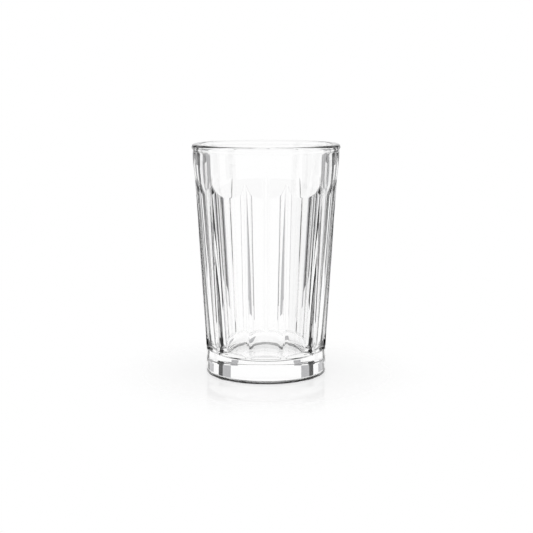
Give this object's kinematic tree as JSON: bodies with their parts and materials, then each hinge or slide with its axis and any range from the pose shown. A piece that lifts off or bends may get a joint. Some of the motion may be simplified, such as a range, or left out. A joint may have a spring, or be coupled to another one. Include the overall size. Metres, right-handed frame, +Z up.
{
  "type": "highball glass",
  "caption": "Tall tapered drinking glass of clear pressed glass: eleven flat panels with ribs between them round the body, plain scalloped band and beaded rim above, thick round foot below",
  "frame": {"origin": "on the axis of the glass, in the plane of the bearing ring it stands on", "axes": "+Z up along the axis from foot to rim, -Y towards the front, where one flat panel faces"},
  "size_m": [0.0754, 0.0754, 0.118],
  "materials": {
    "clear_glass": "fire-polished pressed soda-lime glass, clear and colourless"
  },
  "bodies": {
    "root": {"tumbler": "clear_glass"}
  },
  "joints": []
}
